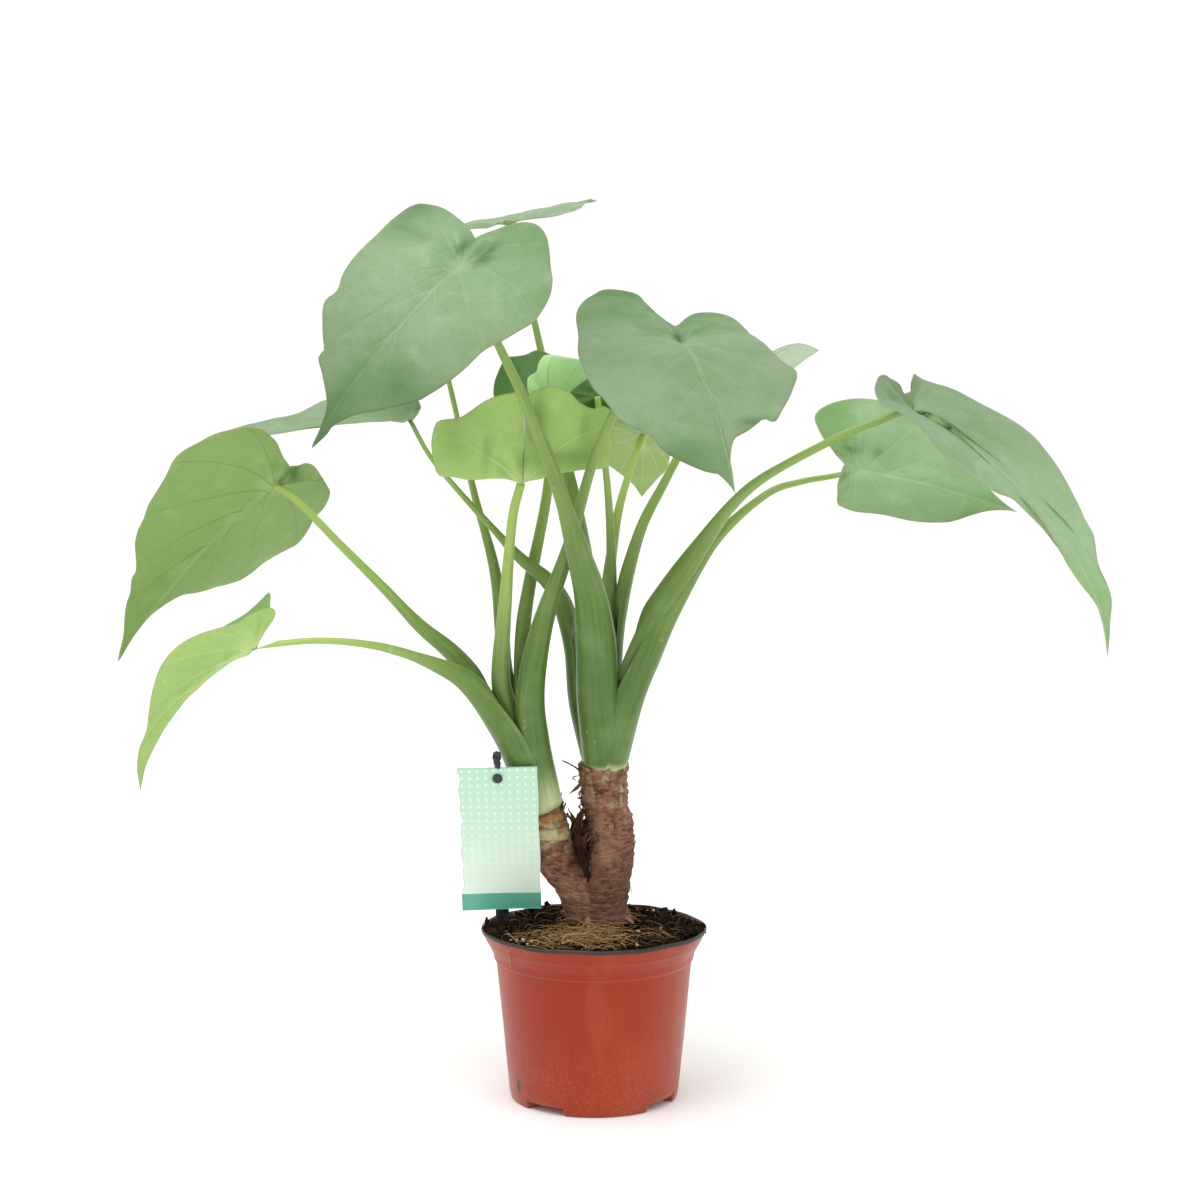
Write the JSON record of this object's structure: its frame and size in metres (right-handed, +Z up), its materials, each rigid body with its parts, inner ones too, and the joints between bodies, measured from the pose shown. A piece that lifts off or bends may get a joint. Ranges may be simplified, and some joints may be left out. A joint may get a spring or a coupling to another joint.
{
  "type": "potted hooded dwarf elephant ear",
  "caption": "Aroid house plant with heart-shaped, hooded leaves on long sheathed stalks, on joined trunks in a thin nursery pot, with a plain plant label.",
  "frame": {"origin": "centre of the flat underside of the pot, on the surface that it stands on", "axes": "+Z up, the front of the plant towards -Y, +X to the right seen from the front"},
  "size_m": [0.5565, 0.3533, 0.5143],
  "materials": {
    "pot": "thin satin terracotta-coloured plastic",
    "growing_mix": "dark peat with coir fibres",
    "trunk": "ringed brown bark with papery scales",
    "stalk": "smooth fresh green, paler at the foot",
    "blade": "matt grey-green above, lighter green below",
    "label_card": "satin pale mint card",
    "label_stake": "satin dark plastic"
  },
  "bodies": {
    "root": {"pot": "pot", "growing_mix": "growing_mix", "trunk": "trunk", "leaf_01_stalk": "stalk", "leaf_01_blade": "blade", "leaf_02_stalk": "stalk", "leaf_02_blade": "blade", "leaf_03_stalk": "stalk", "leaf_03_blade": "blade", "leaf_04_stalk": "stalk", "leaf_04_blade": "blade", "leaf_05_stalk": "stalk", "leaf_05_blade": "blade", "leaf_06_stalk": "stalk", "leaf_06_blade": "blade", "leaf_07_stalk": "stalk", "leaf_07_blade": "blade", "leaf_08_stalk": "stalk", "leaf_08_blade": "blade", "leaf_09_stalk": "stalk", "leaf_09_blade": "blade", "leaf_10_stalk": "stalk", "leaf_10_blade": "blade", "leaf_11_stalk": "stalk", "leaf_11_blade": "blade", "leaf_12_stalk": "stalk", "leaf_12_blade": "blade", "leaf_13_stalk": "stalk", "leaf_13_blade": "blade", "leaf_14_stalk": "stalk", "leaf_14_blade": "blade", "label_card": "label_card", "label_stake": "label_stake", "label_button": "label_stake"}
  },
  "joints": []
}
